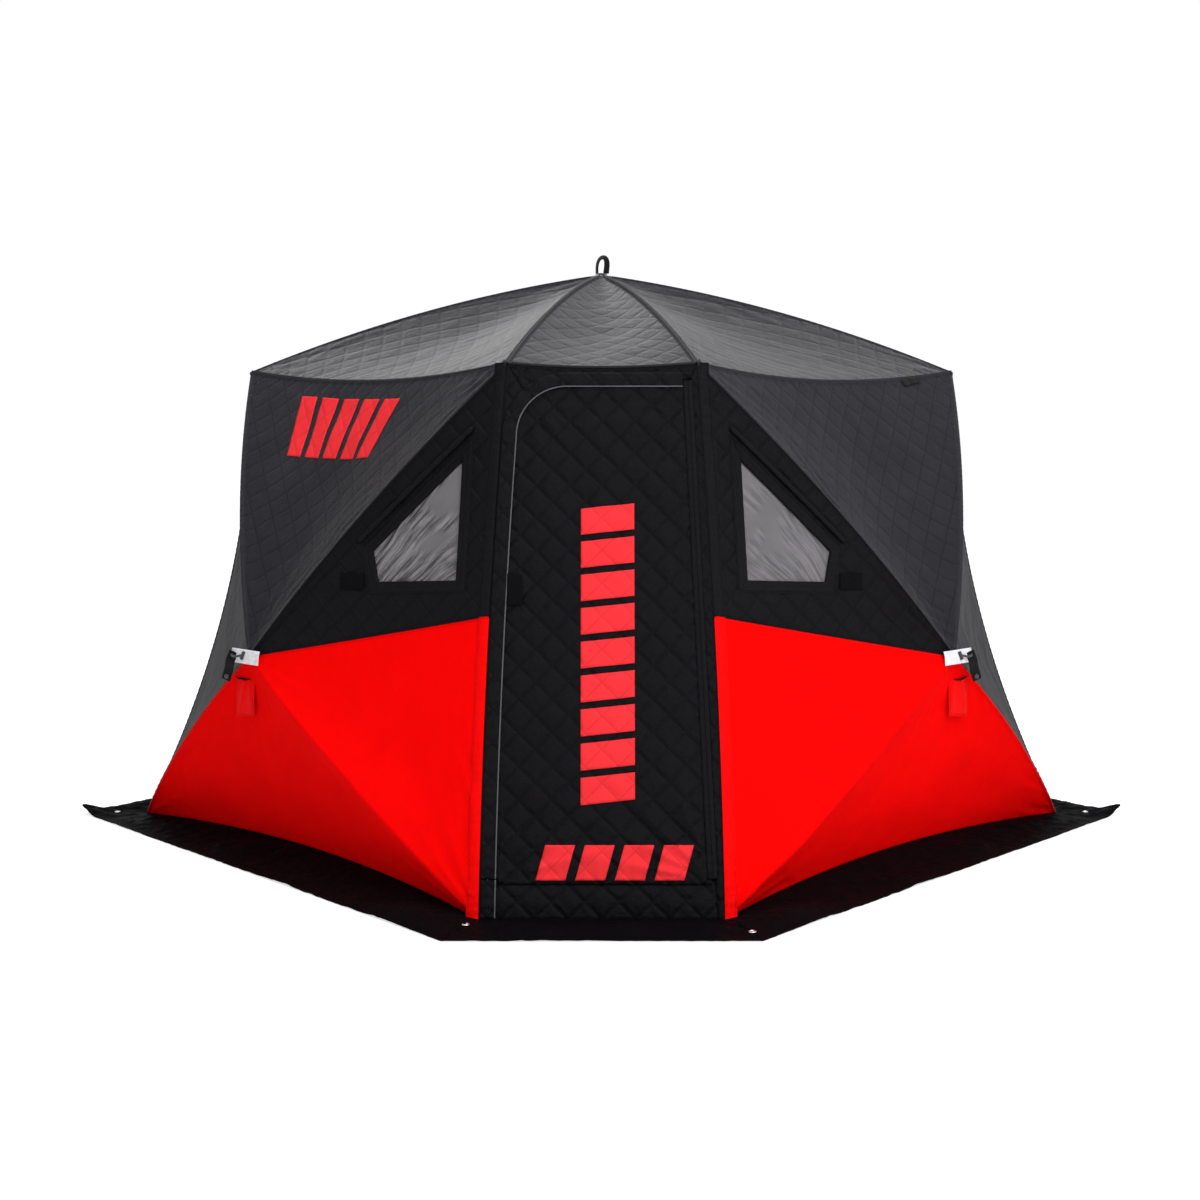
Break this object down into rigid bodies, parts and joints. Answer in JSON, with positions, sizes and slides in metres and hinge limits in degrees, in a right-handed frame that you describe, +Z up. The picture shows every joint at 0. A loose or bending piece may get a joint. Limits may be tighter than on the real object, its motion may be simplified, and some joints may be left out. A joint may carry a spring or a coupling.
{
  "type": "hub-style ice fishing hut",
  "caption": "Six-sided pop-up fabric fishing shelter with quilted walls on bent rods and hubs, clear corner windows, a ground skirt and a hinged fabric door.",
  "frame": {"origin": "on the ground at the middle of the plan", "axes": "+Z up, the door faces -Y, +X to the right when looking at the door from outside"},
  "size_m": [4.07, 3.65, 2.1559],
  "materials": {
    "charcoal_quilt": "quilted insulated polyester, matt",
    "black_quilt": "quilted insulated polyester, matt",
    "red_quilt": "quilted insulated polyester, matt",
    "clear_vinyl": "clear flexible sheet, glossy and slightly creased",
    "skirt_cloth": "plain polyester, matt",
    "flap_cloth": "plain polyester, matt",
    "black_webbing": "woven webbing",
    "glass_fibre_rod": "solid glass-fibre rod, satin",
    "reflective_tag": "reflective tape, satin",
    "black_plastic": "moulded plastic, matt"
  },
  "bodies": {
    "shelter": {"roof_front": "charcoal_quilt", "roof_back": "charcoal_quilt", "roof_front_left": "charcoal_quilt", "roof_front_right": "charcoal_quilt", "roof_back_left": "charcoal_quilt", "roof_back_right": "charcoal_quilt", "top_panel_front_left": "charcoal_quilt", "top_panel_front_right": "charcoal_quilt", "top_panel_back_left": "charcoal_quilt", "top_panel_back_right": "charcoal_quilt", "side_panel_front_left": "charcoal_quilt", "side_panel_front_right": "charcoal_quilt", "side_panel_back_left": "charcoal_quilt", "side_panel_back_right": "charcoal_quilt", "window_panel_front_left": "black_quilt", "window_panel_front_right": "black_quilt", "window_panel_back_left": "black_quilt", "window_panel_back_right": "black_quilt", "lower_panel_front_left": "red_quilt", "lower_panel_front_right": "red_quilt", "lower_panel_back_left": "red_quilt", "lower_panel_back_right": "red_quilt", "window_sheets": "clear_vinyl", "door_latch_jamb": "black_quilt", "door_header": "black_quilt", "door_hinge_jamb": "black_quilt", "door_sill": "black_quilt", "back_wall": "black_quilt", "skirt_front": "skirt_cloth", "skirt_back": "skirt_cloth", "skirt_left": "skirt_cloth", "skirt_right": "skirt_cloth", "rods_front_left": "glass_fibre_rod", "rods_front_right": "glass_fibre_rod", "rods_back_left": "glass_fibre_rod", "rods_back_right": "glass_fibre_rod", "roof_rods": "glass_fibre_rod", "corner_brackets": "black_plastic", "feet": "black_plastic", "wall_hubs": "black_plastic", "roof_hub": "black_plastic", "hub_tags": "reflective_tag", "pull_straps": "black_webbing", "roof_loop": "black_webbing"},
    "door": {"door_flap": "black_quilt", "storm_flap": "flap_cloth"}
  },
  "joints": [
    {"name": "door_hinge", "type": "hinge", "parent": "shelter", "child": "door", "pos_m": [0.346, -1.57611, -0.00095], "axis": [-0.0419, 0.2377, 0.9704], "range_deg": [0, 100]}
  ]
}
